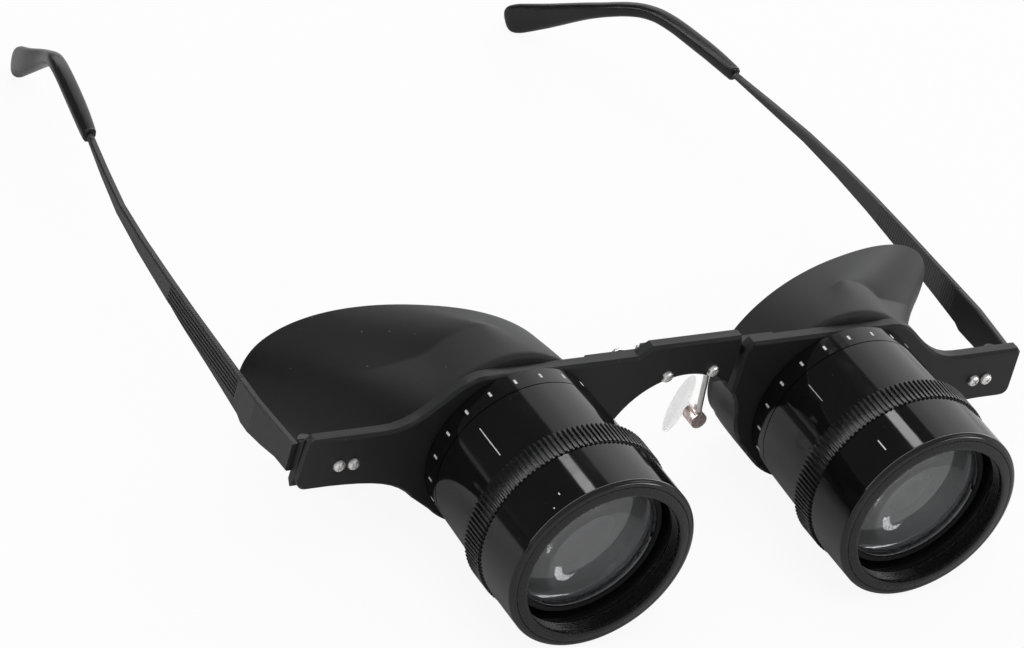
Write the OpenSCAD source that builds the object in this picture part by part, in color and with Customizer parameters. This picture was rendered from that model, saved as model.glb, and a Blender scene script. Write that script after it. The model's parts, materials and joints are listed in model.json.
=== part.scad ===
// Binocular spectacles: two sighting barrels on a two-part spectacle frame.
// X runs across the face, Y runs from the front of the frame to the ears, Z is up.
// The origin lies midway between the two sighting axes, in the plane of the frame's front face.

/* [Frame] */
// Distance between the two sighting axes, as set here
pupil_distance = 65; // [64.5:0.5:67]
// Thickness of the moulded half frames
plate_t = 2.1; // [2:0.1:2.4]
// Height of the frame's top edge over the barrels
bar_top = 14.9; // [14.6:0.1:15.4]
// Height of the raised bridge sleeve
step_top = 16.7; // [16.2:0.1:17.4]
// Distance from a sighting axis to the end of its wing
wing_reach = 39.2; // [38.8:0.2:41]
// Height of a wing's top edge
wing_top = 5.9; // [5.6:0.1:6.6]
// Height of a wing's bottom edge
wing_bottom = -4.3; // [-4.8:0.1:-3.9]
// Radius of the lobe that runs under each barrel
lobe_r = 17; // [16.6:0.1:17.4]
// Radius of the nose arch
arch_r = 13.4; // [13:0.1:13.6]
// Height of the nose arch's centre
arch_z = -3.8; // [-4.2:0.1:-3.6]
// Width of the bevel round the frame's front edges
edge_bevel = 0.5; // [0.3:0.05:0.6]
// Depth of the wall beside the nose
nose_wall = 8; // [6:0.5:9]
// Depth of the wall at a wing's end
end_wall = 3.2; // [3:0.1:3.3]
// Gap between the two half frames at the bridge
bridge_gap = 1.2; // [1.1:0.1:1.6]

/* [Barrels] */
// Radius of the front housing
housing_r = 17; // [16.8:0.05:17.3]
// Distance from the frame's face to the barrel's front rim
barrel_front = 32.2; // [31.8:0.1:33.5]
// Height of the focusing ring's teeth over the front housing
knurl_rise = 0.45; // [0.4:0.05:0.8]
// Number of teeth on the focusing ring
knurl_teeth = 118; // [90:1:130]
// Distance from the frame's face to the rear edge of the focusing ring
knurl_start = 16.7; // [16.5:0.1:17]
// Length of the focusing ring
knurl_len = 5.3; // [4.8:0.1:5.4]
// Step from the front housing in to the base ring that carries the scale
base_step = 1.3; // [1:0.05:1.5]
// Length of the base ring
base_len = 4; // [3.6:0.1:4.2]
// Number of scale marks on a base ring
tick_count = 10; // [6:1:14]
// Angle between two scale marks
tick_step = 17.2; // [14:0.1:20]
// Radial clearance of the turning and sliding fits
run_gap = 0.06; // [0.04:0.01:0.08]
// Width of the front ring's face
ring_face = 3; // [2.9:0.05:3.2]
// Whole travel of the objective for focusing
focus_travel = 3; // [2:0.2:3.2]
// Whole turn of the focusing ring
focus_turn = 180; // [120:10:200]

/* [Temples] */
// Distance from the wing's end to the hinge axis
hinge_inset = 2.5; // [2.4:0.1:2.6]
// Distance of the hinge axis behind the frame's face
hinge_back = 5; // [4.8:0.1:5.4]
// Lean of the hinge axes, so that one temple folds over the other
hinge_lean = 3; // [2.5:0.5:4]
// Radius of the hinge knuckles
knuckle_r = 1.5; // [1.4:0.05:1.55]
// Radius of the hinge screw
hinge_pin_r = 0.7; // [0.6:0.05:0.75]
// Thickness of a temple
temple_t = 1.3; // [1.1:0.1:1.6]
// Distance from the frame's face to the ear sock
sock_start = 90; // [86:1:94]
// Height of the ear sock's flat end
sock_end_h = 6; // [5:0.5:7]

/* [Eye shields] */
// Depth of an eye shield at the middle of its rim
shield_depth = 19.8; // [18:0.2:21]
// Half width of an eye shield's rim on the temple side
shield_half_w = 28; // [26:0.2:28.4]
// Half width of an eye shield's rim on the nose side
shield_nose_w = 25; // [24:0.2:25.6]
// Half height of an eye shield's rim
shield_half_h = 16.3; // [15.8:0.1:17.5]
// Slant of the rim, seen from above
shield_yaw = 14.5; // [12:0.5:16]
// Distance from the frame's face to the valley between drum and wing of an eye shield
shield_valley = 11.5; // [10.5:0.1:12.5]
// Wall thickness of an eye shield
shield_wall = 1.2; // [1:0.1:1.3]
// Radius of the rolled lip on an eye shield's rim
shield_lip = 0.35; // [0.2:0.05:0.5]

/* [Nose pads] */
// Height of a nose pad
pad_h = 12.5; // [11:0.5:13]
// Width of a nose pad
pad_w = 7; // [6:0.5:7.5]
// Thickness of a nose pad
pad_t = 2.4; // [2:0.1:2.6]

/* [Hidden] */
$fn = 96;
axis_x = pupil_distance / 2;
wing_x = axis_x + wing_reach;
hinge_x = wing_x - hinge_inset;
hinge_z = -0.4;
knuckle_gap = 1.4;
knuckle_end = 2.5;
knurl_end = knurl_start + knurl_len;

// Barrel radii, each from the one that it fits: teeth, base ring, tube, spigot, lenses and mouth
knurl_r = housing_r + knurl_rise;
base_r = housing_r - base_step;
bearing_r = base_r - 1.75;
counter_r = bearing_r + 1.15;
groove_r = bearing_r + 0.95;
seat_r = base_r + 0.3;
tube_bore = bearing_r - 1.05;
spigot_r = bearing_r - 1.95;
spigot_bore = spigot_r - 1.1;
objective_r = tube_bore;
objective_view_r = objective_r - 0.65;
eye_lens_r = spigot_bore - 1.9;
eye_stop_r = eye_lens_r - 1.4;
mouth_r = housing_r - ring_face;
ring_r = housing_r - 1.2;
black = [0.05, 0.05, 0.055];
satin = [0.09, 0.09, 0.1];
steel = [0.75, 0.75, 0.77];
brass = [0.7, 0.56, 0.3];
glass = [0.65, 0.72, 0.78, 0.6];

// Right end of the bridge sleeve, and the near end of the right half
sleeve_end = 41.9 - axis_x;
right_start = sleeve_end + bridge_gap;
// Top of the nose arch, over which the bridge's channel and screws stand
crown_z = arch_z + arch_r;
// Channel between the left half and its guide plate
channel_t = 2.1;
channel_low = crown_z + 1.5;
channel_high = channel_low + 2.5;
tongue_gap = 0.1;
slide_in = 1;
slide_out = 5;
lock_x = -12.3;
lock_z = (channel_low + channel_high) / 2;
lock_r = 0.5;
bridge_screw_x = 4.6;
bridge_screw_z = crown_z + 0.7;
// Left end of the guide channel and its plate, from the middle of the bridge
guide_left = 8.7;
small_screw_r = 0.6;
screw_head_r = 1.1;
wing_screw_z = 0.4;
wing_screws_x = [wing_x - 9.3, wing_x - 6.6];

// Objective cell and tube stations, counted forwards from the frame's face
tube_front = 19.5;
spigot_back = 7.5;
sleeve_back = base_len + 0.25;
counter_start = 17.7;
pin_h = 14.9;
pin_r = 0.9;
lens_back = 22.8;
lens_front = 25.3;
lead = focus_travel * 360 / focus_turn;
spigot_front = knurl_end + 3;

// Eye shield: its oval at the frame, the flange round the spigot, and the nut on the flange
shield_back = plate_t + 0.05;
flange_t = 1.3;
nut_r = spigot_r + 0.95;
nut_len = 2.4;
drum_r = nut_r + 2.95;
drum_x = axis_x + 1.1;
drum_z = 1;
drum_edge = 1;
rim_x = axis_x + 8.9;
rim_z = -1.4;

// Points of a cubic curve
function bez(a, b, c, d, n) = [for (i = [0:n]) let (t = i / n, u = 1 - t)
    u * u * u * a + 3 * u * u * t * b + 3 * u * t * t * c + t * t * t * d];
// Points of an arc in the plane
function arc(c, r, a0, a1, n) = [for (i = [0:n]) let (a = a0 + (a1 - a0) * i / n)
    c + r * [cos(a), sin(a)]];
function unit(v) = v / norm(v);
// A closed outline moved inwards by d, for an outline that runs clockwise
function inset(p, d) = [for (i = [0:len(p) - 1])
    let (n = len(p), a = unit(p[i] - p[(i + n - 1) % n]), b = unit(p[(i + 1) % n] - p[i]),
        m = unit([a[1] + b[1], -a[0] - b[0]]), k = max(0.5, m * [a[1], -a[0]]))
    p[i] + m * d / k];
// Value at x of a line through the pairs in a list
function at(list, x, i = 0) = (i >= len(list) - 2 || x <= list[i + 1][0]) ?
    list[i][1] + (list[i + 1][1] - list[i][1]) * (x - list[i][0]) / (list[i + 1][0] - list[i][0]) :
    at(list, x, i + 1);
// Point at t, from 0 to the last index, of a smooth curve through the points of a list
function knot(p, i) = i < 0 ? 2 * p[0] - p[1] :
    i >= len(p) ? 2 * p[len(p) - 1] - p[len(p) - 2] : p[i];
function through(p, t) = let (i = min(floor(t), len(p) - 2), f = t - i, a = knot(p, i - 1),
    b = p[i], c = p[i + 1], d = knot(p, i + 2))
    0.5 * (2 * b + (c - a) * f + (2 * a - 5 * b + 4 * c - d) * f * f +
    (3 * b - a - 3 * c + d) * f * f * f);

// Outer part of a half frame's outline, from the top over the barrel, round the wing and the lobe
// to the nose arch, as the right half shows it
lobe_end = -135;
arch_from = 10;
function lobe_at(a) = [axis_x, 0] + lobe_r * [cos(a), sin(a)];
function arch_at(a) = [0, arch_z] + arch_r * [cos(a), sin(a)];
function outer_edge() = concat(
    bez([axis_x + 8, bar_top], [axis_x + 14.5, bar_top], [axis_x + 17, wing_top],
        [axis_x + 25, wing_top], 12),
    [[wing_x - 1.1, wing_top], [wing_x - 0.3, wing_top - 0.9]],
    arc([wing_x - 1.8, wing_bottom + 1.8], 1.8, 0, -90, 5),
    bez([axis_x + 33, wing_bottom], [axis_x + 24, wing_bottom - 0.3],
        [axis_x + 19.8, wing_bottom - 1.1], lobe_at(-46) + [4.2, 3.1], 8),
    arc([axis_x, 0], lobe_r, -46, lobe_end, 18),
    nose_edge());
function nose_edge() = concat(
    bez(lobe_at(lobe_end) + [-0.3, 0.3], lobe_at(lobe_end) + [-3.5, 3.5],
        arch_at(arch_from) + [0.7, -4], arch_at(arch_from), 8));
function right_outline() = concat(
    [[right_start + 1.2, bar_top]], outer_edge(),
    arc([0, arch_z], arch_r, arch_from + 4, acos(right_start / arch_r), 8),
    [[right_start, bar_top - 1.4]]);
function left_outline() = concat(
    [[-sleeve_end + 0.6, step_top], [8.9, step_top], [11.3, bar_top]], outer_edge(),
    arc([0, arch_z], arch_r, arch_from + 4, 87 + asin(sleeve_end / arch_r), 26),
    [[-sleeve_end, crown_z - 2.2], [-sleeve_end, bar_top]]);

// Turns a flat shape in X and Y up into X and Z, from y0 to y1
module upright(y0, y1) {
    translate([0, y1, 0])
        rotate([90, 0, 0])
            linear_extrude(height = y1 - y0)
                children();
}

// Closed skin through a list of rings with the same number of points
module loft(rings) {
    n = len(rings[0]);
    m = len(rings);
    pts = [for (r = rings) for (p = r) p];
    sides = [for (j = [0:m - 2]) for (i = [0:n - 1])
        [j * n + i, j * n + (i + 1) % n, (j + 1) * n + (i + 1) % n, (j + 1) * n + i]];
    polyhedron(points = pts, convexity = 6,
        faces = concat([[for (i = [n - 1:-1:0]) i]], sides, [[for (i = [0:n - 1]) (m - 1) * n + i]]));
}

// Closed ring with a three-cornered section, from three loops with the same number of points
module ring_solid(loops) {
    n = len(loops[0]);
    pts = [for (r = loops) for (p = r) p];
    polyhedron(points = pts, convexity = 10, faces = [for (k = [0:2]) for (i = [0:n - 1])
        let (a = k * n, b = ((k + 1) % 3) * n, j = (i + 1) % n)
        each [[a + i, a + j, b + j], [a + i, b + j, b + i]]]);
}

// Frame plate with its front edges bevelled
module bevelled_plate(outline) {
    outer = inset(outline, -0.3 * edge_bevel);
    inner = inset(outline, 1.3 * edge_bevel);
    difference() {
        upright(0, plate_t)
            polygon(outline);
        ring_solid([[for (p = inner) [p[0], -0.3 * edge_bevel, p[1]]],
            [for (p = outer) [p[0], 1.3 * edge_bevel, p[1]]],
            [for (p = outer) [p[0], -0.3 * edge_bevel, p[1]]]]);
    }
}

// Wall that stands back from the edge beside the nose, up to an angle on the arch
module nose_wall_strip(arch_to) {
    edge = concat(arc([axis_x, 0], lobe_r, -124, lobe_end, 3), nose_edge(),
        arc([0, arch_z], arch_r, arch_from + 4, arch_to, 6));
    n = len(edge);
    inner = [for (i = [0:n - 1]) let (a = edge[max(i - 1, 0)], b = edge[min(i + 1, n - 1)],
        v = unit(b - a)) edge[i] + 1.3 * [v[1], -v[0]]];
    difference() {
        upright(plate_t - 0.4, nose_wall)
            polygon(concat(edge, [for (i = [n - 1:-1:0]) inner[i]]));
        translate([-5, plate_t, 6.2])
            rotate([-44, 0, 0])
                cube([60, 20, 20]);
        translate([-5, plate_t + 1, -13])
            rotate([50, 0, 0])
                translate([0, 0, -20])
                    cube([60, 20, 20]);
    }
}

// Wall that closes a wing's outer end in front of the hinge, relieved for the hinge knuckles
module end_wall_strip(side)
    difference() {
        translate([wing_x - 1.3, 0, 0])
            rotate([90, 0, 90])
                linear_extrude(height = 1.3)
                    polygon([[plate_t - 0.3, wing_top - 0.9], [plate_t, wing_top - 0.9], [end_wall, temple_top[0][1]],
                        [end_wall, wing_bottom + 0.5], [end_wall - 0.9, wing_bottom - 0.5],
                        [plate_t, wing_bottom + 0.3], [plate_t - 0.3, wing_bottom + 0.3]]);
        on_hinge(side)
            translate([0, 0, -8])
                cylinder(r = knuckle_r + 0.12, h = 16, $fn = 40);
    }

// Puts a piece on a barrel's axis, with its own Z pointing forwards
module on_barrel(side) {
    translate([side * axis_x, 0, 0])
        rotate([90, 0, 0])
            children();
}

// Right pieces as they are, left ones as their mirror image
module on_side(side) {
    if (side < 0)
        mirror([1, 0, 0])
            children();
    else
        children();
}

// Through hole along Y
module hole_y(x, z, r, y0, y1) {
    translate([x, y1, z])
        rotate([90, 0, 0])
            cylinder(r = r, h = y1 - y0, $fn = 32);
}

// Round-headed screw with a cross recess, its head's underside at the origin, pointing along +Y
module small_screw(len) {
    rotate([-90, 0, 0])
        difference() {
            union() {
                cylinder(r = small_screw_r, h = len, $fn = 24);
                rotate_extrude($fn = 40)
                    polygon([[0, 0], [screw_head_r, 0], [screw_head_r, -0.3],
                        [screw_head_r * 0.86, -0.62], [screw_head_r * 0.5, -0.82], [0, -0.88]]);
            }
            for (a = [45, 135])
                rotate([0, 0, a])
                    translate([-0.62, -0.13, -1])
                        cube([1.24, 0.26, 0.62]);
        }
}

module left_half_frame() color(satin) {
    difference() {
        union() {
            mirror([1, 0, 0])
                bevelled_plate(left_outline());
            mirror([1, 0, 0])
                nose_wall_strip(50);
            mirror([1, 0, 0])
                end_wall_strip(-1);
            difference() {
                upright(plate_t - 0.3, plate_t + channel_t)
                    translate([-guide_left, crown_z - 2])
                        square([guide_left + sleeve_end - 0.5, channel_low - 0.1 - crown_z + 2]);
                hole_y(0, arch_z, arch_r + 0.05, 0, 10);
            }
            upright(plate_t - 0.3, plate_t + channel_t)
                translate([-guide_left, channel_high + 0.1])
                    square([guide_left + sleeve_end - 0.5, 0.8]);
        }
        hole_y(-axis_x, 0, spigot_r + 0.04, -1, 10);
        for (x = [-bridge_screw_x, bridge_screw_x])
            hole_y(x, bridge_screw_z, small_screw_r + 0.05, -1, 10);
        for (x = wing_screws_x)
            hole_y(-x, wing_screw_z, small_screw_r + 0.05, -1, 10);
        hole_y(lock_x, lock_z, 1.3, 0.6, 10);
    }
}

module right_half_frame() color(satin) {
    tongue_end = lock_x - slide_out - lock_r - 1.6;
    difference() {
        union() {
            bevelled_plate(right_outline());
            nose_wall_strip(acos(right_start / arch_r) - 2);
            end_wall_strip(1);
            translate([right_start + 0.2, 1.5, channel_low + tongue_gap])
                cube([7.4, plate_t + channel_t - tongue_gap - 1.5,
                    channel_high - channel_low - 2 * tongue_gap]);
            translate([tongue_end, plate_t + tongue_gap, channel_low + tongue_gap])
                cube([right_start + 1 - tongue_end, channel_t - 2 * tongue_gap,
                    channel_high - channel_low - 2 * tongue_gap]);
        }
        hole_y(axis_x, 0, spigot_r + 0.04, -1, 10);
        for (x = wing_screws_x)
            hole_y(x, wing_screw_z, small_screw_r + 0.05, -1, 10);
        hull()
            for (x = [lock_x - slide_out - 0.2, lock_x + slide_in + 0.2])
                hole_y(x, lock_z, lock_r + 0.06, plate_t, 10);
    }
}

// Steel keeper behind the sliding tongue
module bridge_guide_plate() color(steel) {
    difference() {
        upright(plate_t + channel_t, plate_t + channel_t + 0.8)
            translate([-guide_left, crown_z - 2])
                square([guide_left + sleeve_end - 0.7, channel_high - 0.1 - crown_z + 2]);
        hole_y(0, arch_z, arch_r + 0.3, 0, 10);
        for (x = [-bridge_screw_x, bridge_screw_x])
            hole_y(x, bridge_screw_z, small_screw_r + 0.05, 0, 10);
    }
}

module bridge_screws() color(steel)
    for (x = [-bridge_screw_x, bridge_screw_x])
        translate([x, 0, bridge_screw_z])
            small_screw(plate_t + channel_t + 2.1);

// Clamp screw behind the bridge, with a domed head and a slot
module lock_screw() color(steel) {
    head_y = plate_t + channel_t + 0.02;
    translate([lock_x, 0, lock_z])
        rotate([-90, 0, 0])
            difference() {
                union() {
                    translate([0, 0, 0.9])
                        cylinder(r = lock_r, h = head_y, $fn = 24);
                    rotate_extrude($fn = 40)
                        polygon([[0, head_y], [1.25, head_y], [1.25, head_y + 0.4],
                            [1.1, head_y + 0.75], [0.7, head_y + 0.98], [0, head_y + 1.05]]);
                }
                translate([-1.5, -0.15, head_y + 0.6])
                    cube([3, 0.3, 1]);
            }
}

// Threaded brass insert for the clamp screw
module lock_insert() color(brass)
    translate([lock_x, 0, lock_z])
        rotate([-90, 0, 0])
            difference() {
                translate([0, 0, 0.65])
                    cylinder(r = 1.28, h = plate_t - 0.65, $fn = 32);
                cylinder(r = lock_r + run_gap, h = 4, $fn = 32);
            }

// Turn of the middle of a side's scale from the outer side
function scale_turn(side) = side < 0 ? 132.2 : 127;

// Fixed tube: a scaled base ring in front of the frame, a bearing for the focusing barrel with a
// straight slot for the drive pin, and a spigot through the frame
module inner_tube(side) color(black)
    on_barrel(side)
        difference() {
            rotate_extrude()
                polygon([[spigot_bore, -spigot_back], [spigot_r - 0.3, -spigot_back],
                    [spigot_r, 0.3 - spigot_back], [spigot_r, 0.02], [base_r - 0.3, 0.02],
                    [base_r, 0.3], [base_r, base_len - 0.25], [base_r - 0.25, base_len],
                    [bearing_r, base_len], [bearing_r, tube_front - 0.2],
                    [bearing_r - 0.2, tube_front], [tube_bore, tube_front],
                    [tube_bore, 11.4], [spigot_bore, 9.4]]);
            for (i = [0:tick_count - 1])
                rotate([0, 0, scale_turn(side) + (i - (tick_count - 1) / 2) * tick_step])
                    translate([base_r - 0.12, -0.16, base_len - 2.8])
                        cube([1, 0.32, 2.3]);
            pin_slot();
        }

// Straight slot of the fixed tube
module pin_slot() {
    half = focus_travel / 2 + pin_r + 0.15;
    translate([0, -pin_r - 0.1, pin_h - half])
        cube([20, 2 * pin_r + 0.2, 2 * half]);
}

// Ring nut that clamps the frame and the eye shield onto the tube
module tube_nut(side) color(black)
    on_barrel(side)
        difference() {
            translate([0, 0, -plate_t - flange_t - 0.1 - nut_len])
                cylinder(r = nut_r, h = nut_len);
            translate([0, 0, -20])
                cylinder(r = spigot_r + 0.02, h = 40);
            for (a = [0, 90, 180, 270])
                rotate([0, 0, a])
                    translate([spigot_r + 0.4, -0.8, -plate_t - flange_t - 1 - nut_len])
                        cube([3, 1.6, 1.6]);
        }

// Turning sleeve with the toothed focusing ring and the helical groove that drives the lens cell
module focus_sleeve(side) color(black)
    on_barrel(side)
        difference() {
            union() {
                rotate_extrude()
                    polygon([[bearing_r + run_gap, sleeve_back], [base_r - 0.2, sleeve_back],
                        [base_r + 0.05, sleeve_back + 0.25], [base_r + 0.45, knurl_start - 0.5],
                        [base_r + 0.2, knurl_start - 0.3], [base_r + 0.2, knurl_start + 0.2],
                        [knurl_r - 0.55, knurl_start + 0.2], [knurl_r - 0.55, knurl_end - 0.1],
                        [seat_r, knurl_end - 0.1], [seat_r, spigot_front],
                        [counter_r, spigot_front], [counter_r, counter_start],
                        [bearing_r + run_gap, counter_start]]);
                teeth();
            }
            drive_groove();
            rotate([0, 0, 141])
                translate([base_r + 0.13, -0.17, sleeve_back + 2])
                    cube([1, 0.34, 7.6]);
        }

module teeth() {
    root = knurl_r - 0.45;
    step = 360 / knurl_teeth;
    difference() {
        translate([0, 0, knurl_start])
            linear_extrude(height = knurl_len)
                polygon([for (i = [0:knurl_teeth - 1]) for (k = [0:3])
                    let (a = (i + [0, 0.16, 0.44, 0.6][k]) * step)
                    ((k == 0 || k == 3) ? root : knurl_r) * [cos(a), sin(a)]]);
        translate([0, 0, knurl_start - 1])
            cylinder(r = base_r + 0.1, h = knurl_len + 2);
    }
}

// Helical groove in the sleeve's bore, as long as the focusing turn
module drive_groove() {
    width = 2 * pin_r + 0.3;
    sector = width / lead * 360;
    height = focus_travel + width;
    half_turn = focus_turn / 2 + 7;
    intersection() {
        translate([0, 0, pin_h - height / 2])
            rotate([0, 0, -height / 2 / lead * 360])
                linear_extrude(height = height, twist = -height / lead * 360, slices = 60, $fn = 12)
                    polygon(concat([[0, 0]],
                        [for (i = [0:12]) groove_r * [cos(sector * (i / 12 - 0.5)),
                            sin(sector * (i / 12 - 0.5))]]));
        translate([0, 0, pin_h - 10])
            linear_extrude(height = 20)
                polygon(concat([[0, 0]],
                    [for (i = [0:24]) 30 * [cos(half_turn * (i / 12 - 1)),
                        sin(half_turn * (i / 12 - 1))]]));
    }
}

// Ring that keeps the focusing sleeve on the tube
module sleeve_retainer(side) color(steel)
    on_barrel(side)
        difference() {
            translate([0, 0, counter_start + 0.1])
                cylinder(r = counter_r - 0.15, h = tube_front - counter_start - 0.3);
            cylinder(r = bearing_r + 0.01, h = 30);
        }

module front_housing(side) color(black)
    on_barrel(side)
        difference() {
            rotate_extrude()
                polygon([[seat_r + 0.04, knurl_end + 0.05], [housing_r - 0.25, knurl_end + 0.05],
                    [housing_r, knurl_end + 0.3], [housing_r, barrel_front - 1.05],
                    [housing_r - 0.12, barrel_front - 0.8], [housing_r - 0.4, barrel_front - 0.55],
                    [housing_r - 0.95, barrel_front - 0.37], [ring_r + 0.05, barrel_front - 0.33],
                    [ring_r + 0.05, barrel_front - 3.6], [mouth_r + 0.45, barrel_front - 3.6],
                    [mouth_r + 0.45, spigot_front + 0.2], [seat_r + 0.04, spigot_front + 0.2]]);
            rotate([0, 0, 131])
                translate([housing_r - 0.12, -0.15, knurl_end + 3.4])
                    cube([1, 0.3, 3]);
        }

// Screwed front ring with ribs inside its mouth against stray light
module front_ring(side) color(black)
    on_barrel(side)
        rotate_extrude()
            polygon(concat([[ring_r, barrel_front - 3.5], [ring_r, barrel_front - 0.33],
                [mouth_r + 0.9, barrel_front - 0.1], [mouth_r + 0.35, barrel_front],
                [mouth_r, barrel_front - 0.15], [mouth_r, barrel_front - 0.7]],
                [for (i = [0:3]) for (k = [0, 1])
                    [mouth_r + (k == 0 ? 0.45 : 0.05), barrel_front - 0.95 - 0.6 * i - 0.3 * k]],
                [[mouth_r + 0.45, barrel_front - 3.5]]));

// Sliding lens cell: a skirt inside the tube and a head that holds the objective
module objective_cell(side) color(black)
    on_barrel(side)
        difference() {
            rotate_extrude()
                polygon([[objective_view_r - 0.05, 13.2], [tube_bore - run_gap, 13.2],
                    [tube_bore - run_gap, lens_back - 1.5], [mouth_r - 0.1, lens_back - 1],
                    [mouth_r - 0.1, lens_front + 1.1], [mouth_r - 0.3, lens_front + 1.3],
                    [objective_r + 0.05, lens_front + 1.3], [objective_r + 0.05, lens_back],
                    [objective_view_r - 0.05, lens_back - 0.4]]);
            translate([objective_view_r - 1, 0, pin_h])
                rotate([0, 90, 0])
                    cylinder(r = 0.5, h = 3, $fn = 24);
        }

module objective_lens(side) color(glass)
    on_barrel(side) {
        front_sag = [for (i = [8:-1:0]) let (r = objective_r * i / 8)
            [r, lens_front + 2.1 * (1 - pow(i / 8, 2))]];
        back_r = objective_view_r - 0.25;
        back_sag = [for (i = [0:7]) let (r = back_r * i / 8)
            [r, lens_back - 0.4 - 0.7 * (1 - pow(i / 8, 2))]];
        rotate_extrude()
            polygon(concat(back_sag, [[back_r, lens_back + 0.04], [objective_r, lens_back + 0.04]],
                front_sag));
    }

// Threaded ring that holds the objective in its cell
module lens_retainer(side) color(black)
    on_barrel(side)
        difference() {
            rotate_extrude()
                polygon([[objective_view_r + 0.35, lens_front + 0.3], [objective_view_r, lens_front + 0.6],
                    [objective_view_r + 0.3, lens_front + 1.2], [objective_r, lens_front + 1.2],
                    [objective_r, lens_front + 0.06]]);
            for (a = [0, 180])
                rotate([0, 0, a])
                    translate([objective_view_r - 0.2, -0.5, lens_front + 0.8])
                        cube([2, 1, 1]);
        }

// Pin that joins the lens cell to the sleeve's helical groove
module drive_pin(side) color(steel)
    on_barrel(side) {
        translate([tube_bore + 0.02, 0, pin_h])
            rotate([0, 90, 0])
                cylinder(r = pin_r, h = groove_r - 0.2 - tube_bore, $fn = 32);
        translate([objective_view_r + 0.05, 0, pin_h])
            rotate([0, 90, 0])
                cylinder(r = 0.48, h = 1, $fn = 24);
    }

module eyepiece_cell(side) color(black)
    on_barrel(side)
        rotate_extrude()
            polygon([[eye_stop_r, 2], [spigot_bore - 0.03, 2], [spigot_bore - 0.03, -spigot_back - 0.02],
                [spigot_r - 0.2, -spigot_back - 0.02], [spigot_r - 0.2, -spigot_back - 0.5],
                [spigot_r - 0.5, -spigot_back - 0.8], [eye_lens_r + 0.9, -spigot_back - 0.8],
                [eye_lens_r + 0.05, -spigot_back + 0.6], [eye_lens_r + 0.05, -2.6], [eye_stop_r, -2.2]]);

module eye_lens(side) color(glass)
    on_barrel(side) {
        back_r = eye_lens_r - 0.8;
        front_sag = [for (i = [0:7]) [eye_stop_r * i / 8, -3.4 + 0.76 * pow(i / 8, 2)]];
        back_sag = [for (i = [8:-1:0]) [back_r * i / 8, -4.4 - 0.5 * pow(i / 8, 2)]];
        rotate_extrude()
            polygon(concat(front_sag, [[eye_stop_r, -2.64], [eye_lens_r, -2.64], [eye_lens_r, -4.9]],
                back_sag));
    }

// Ring that holds the eye lens in its cell
module eye_lens_ring(side) color(black)
    on_barrel(side)
        rotate_extrude()
            polygon([[eye_lens_r - 1, -6.2], [eye_lens_r - 1.2, -5.4], [eye_lens_r - 0.6, -4.95],
                [eye_lens_r, -4.95], [eye_lens_r, -6.2]]);

// Point of an eye shield at an angle: s runs from 0 at the frame to 1 at the rim. A round drum
// comes first. The wing spreads from it, with a valley between the two on the outer upper side.
function fade(t) = let (u = min(1, max(0, t))) u * u * (3 - 2 * u);
function valley_at(a) = a > 180 ? 0 : fade((a - 20) / 25) * fade((105 - a) / 30);
function shield_point(s, a, grow) = let (c = cos(a), q = sin(a), k = valley_at(a),
        e = max(0, 1 - s / 0.06), r = drum_r + grow - drum_edge * (1 - sqrt(1 - e * e)),
        u = (c > 0 ? shield_half_w + grow : shield_nose_w + grow) * sign(c) * pow(abs(c), 0.9),
        v = (shield_half_h + grow) * sign(q) * pow(abs(q), 0.9), w = max(0, 2 * s - 1),
        d = [drum_x + r * c, drum_z + r * q], m = [rim_x + u, rim_z + v],
        rim_y = shield_depth + u * tan(shield_yaw),
        f = k * pow(w, 0.92) + (1 - k) * pow(s, 1.3),
        valley_y = s < 0.5 ? shield_back + (shield_valley - shield_back) * 2 * s :
            shield_valley + (rim_y - shield_valley) * w,
        y = k * valley_y + (1 - k) * (shield_back + (rim_y - shield_back) * s))
    [d[0] + (m[0] - d[0]) * f, y, d[1] + (m[1] - d[1]) * f];
function shield_ring(s, grow, dy = 0) = [for (i = [0:47])
    shield_point(s, i * 7.5, grow) + [0, dy, 0]];
function shield_floor(y, grow) = [for (i = [0:47])
    [drum_x + (drum_r + grow) * cos(i * 7.5), y, drum_z + (drum_r + grow) * sin(i * 7.5)]];
shield_from = shield_back + flange_t;

module eye_shield(side) color(satin)
    on_side(side)
        difference() {
            loft(concat([for (s = [0, 0.015, 0.06, 0.25, 0.4, 0.5, 0.6, 0.75, 0.9, 0.97])
                shield_ring(s, 0)],
                [shield_ring(0.985, shield_lip), shield_ring(1, shield_lip),
                    shield_ring(1, 0, shield_lip)]));
            loft(concat([shield_floor(shield_from, -shield_wall)],
                [for (s = [0.13, 0.25, 0.4, 0.5, 0.6, 0.75, 0.9, 1])
                    shield_ring(s, -shield_wall)],
                [shield_ring(1, -shield_wall, 3)]));
            hole_y(axis_x, 0, spigot_r + 0.1, -1, 10);
        }

// Puts a piece on a hinge axis, with its own Z along the axis
module on_hinge(side) {
    translate([hinge_x, hinge_back, hinge_z])
        rotate([-side * hinge_lean, 0, 0])
            children();
}

module hinge_block(side) color(satin)
    on_side(side)
        difference() {
            union() {
                translate([wing_x - 10.8, plate_t, -2.6])
                    cube([6.6, 1.2, 6]);
                for (z = [-knuckle_end, knuckle_gap])
                    on_hinge(side)
                        union() {
                            translate([0, 0, z])
                                cylinder(r = knuckle_r, h = knuckle_end - knuckle_gap, $fn = 40);
                            translate([-3, -hinge_back, z])
                                cube([3.8, hinge_back, knuckle_end - knuckle_gap]);
                        }
            }
            for (x = wing_screws_x)
                hole_y(x, wing_screw_z, small_screw_r + 0.02, 0, 8);
            on_hinge(side)
                translate([0, 0, -6])
                    cylinder(r = hinge_pin_r + 0.01, h = 12, $fn = 32);
            translate([wing_x - 12, plate_t - 9, -5])
                cube([12, 9, 12]);
        }

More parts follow.
